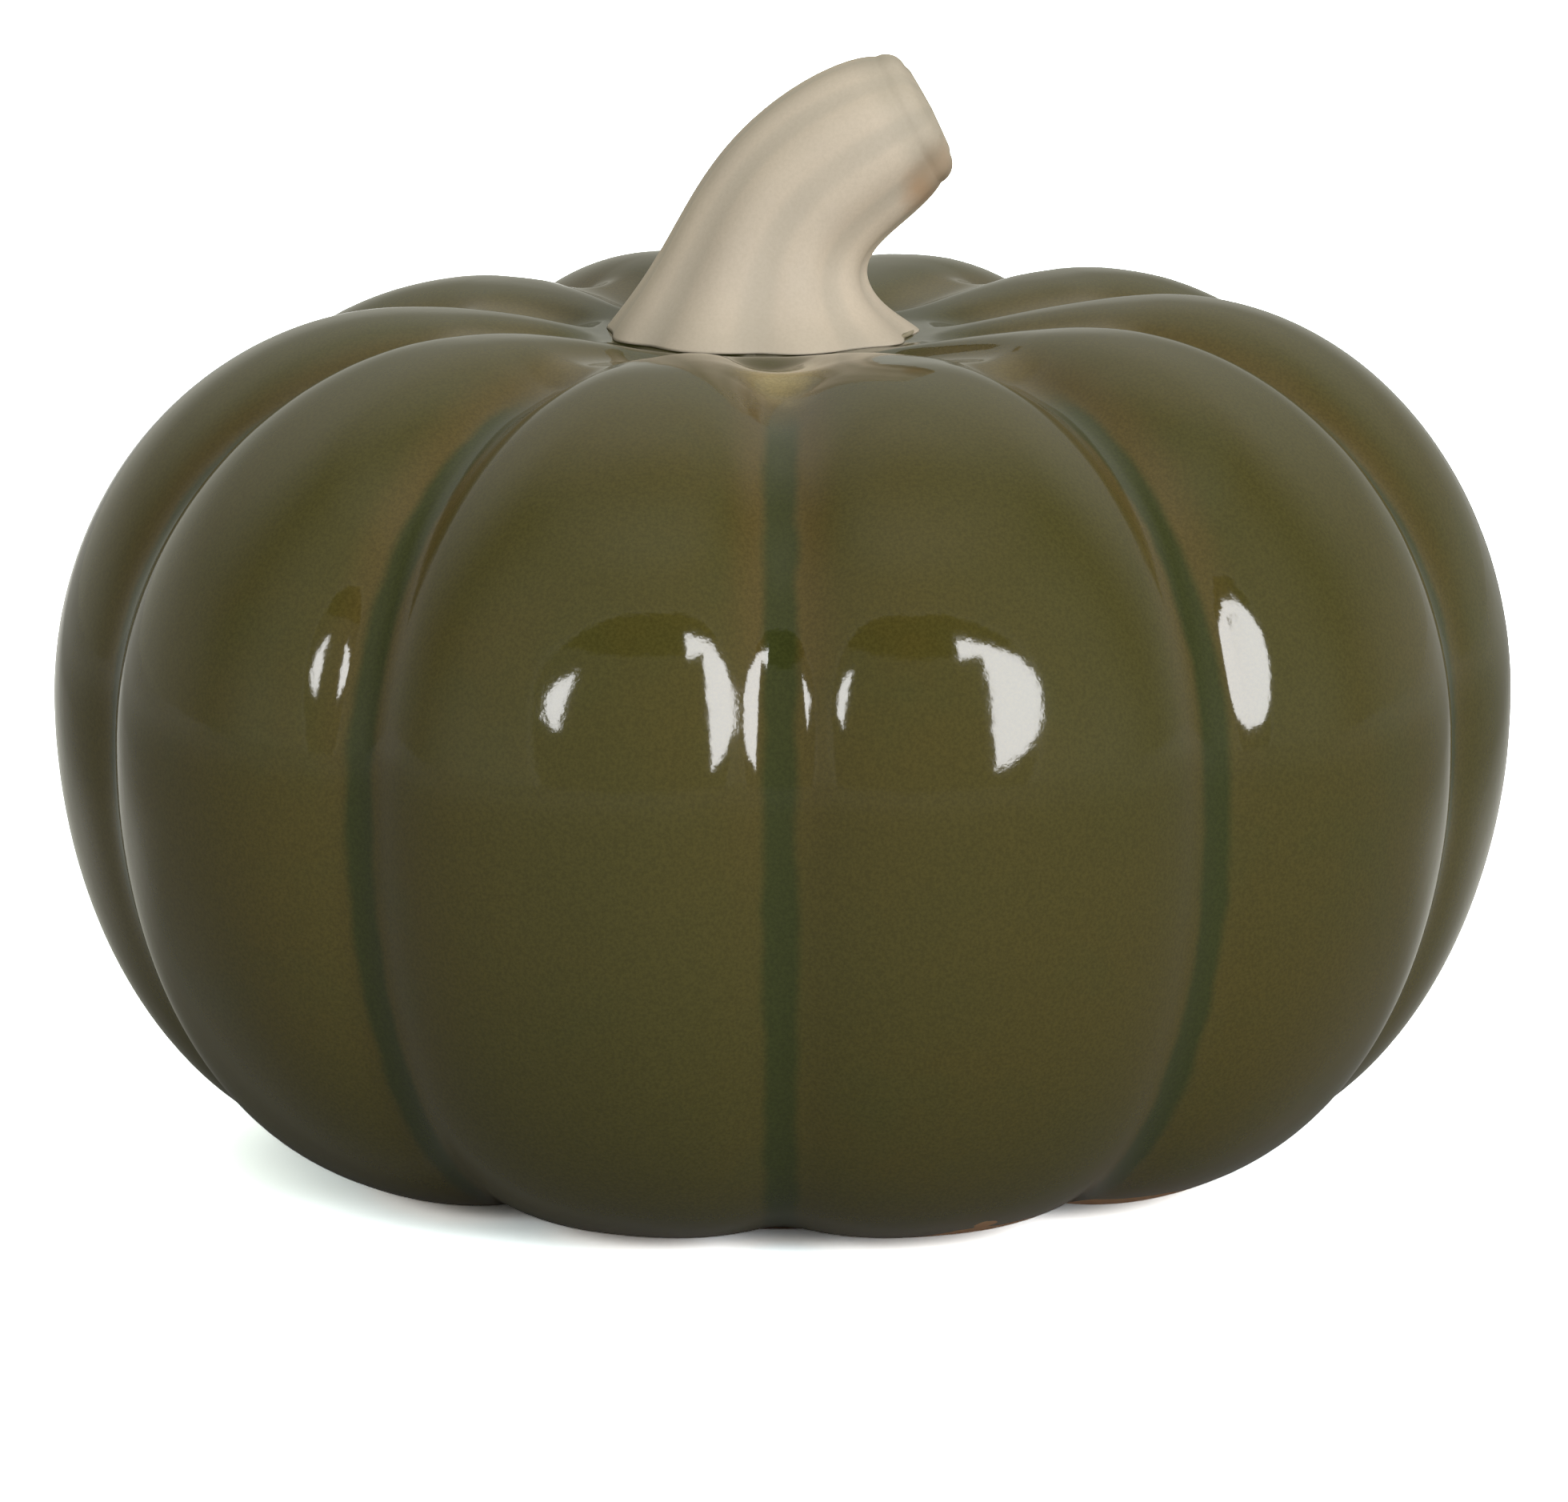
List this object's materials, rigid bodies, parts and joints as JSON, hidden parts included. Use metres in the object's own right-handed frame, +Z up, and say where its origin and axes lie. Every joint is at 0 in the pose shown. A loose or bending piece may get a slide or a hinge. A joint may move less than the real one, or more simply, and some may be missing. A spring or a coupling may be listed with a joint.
{
  "type": "ceramic pumpkin figure",
  "caption": "Hollow glazed ceramic pumpkin with deep lobes and a bent, unglazed stem, a free-standing seasonal decoration.",
  "frame": {"origin": "centre of the footprint, on the surface that the pumpkin stands on", "axes": "+Z up, -Y is the front, with a groove facing it, and the stem leans towards +X"},
  "size_m": [0.1798, 0.1756, 0.136],
  "materials": {
    "glazed_body": "gloss",
    "bare_stem": "matte",
    "adhesive": "satin",
    "felt": "matte"
  },
  "bodies": {
    "root": {"body_shell": "glazed_body", "stem": "bare_stem", "adhesive_ring": "adhesive", "foot_pad_1": "felt", "foot_pad_2": "felt", "foot_pad_3": "felt", "foot_pad_4": "felt"}
  },
  "joints": []
}
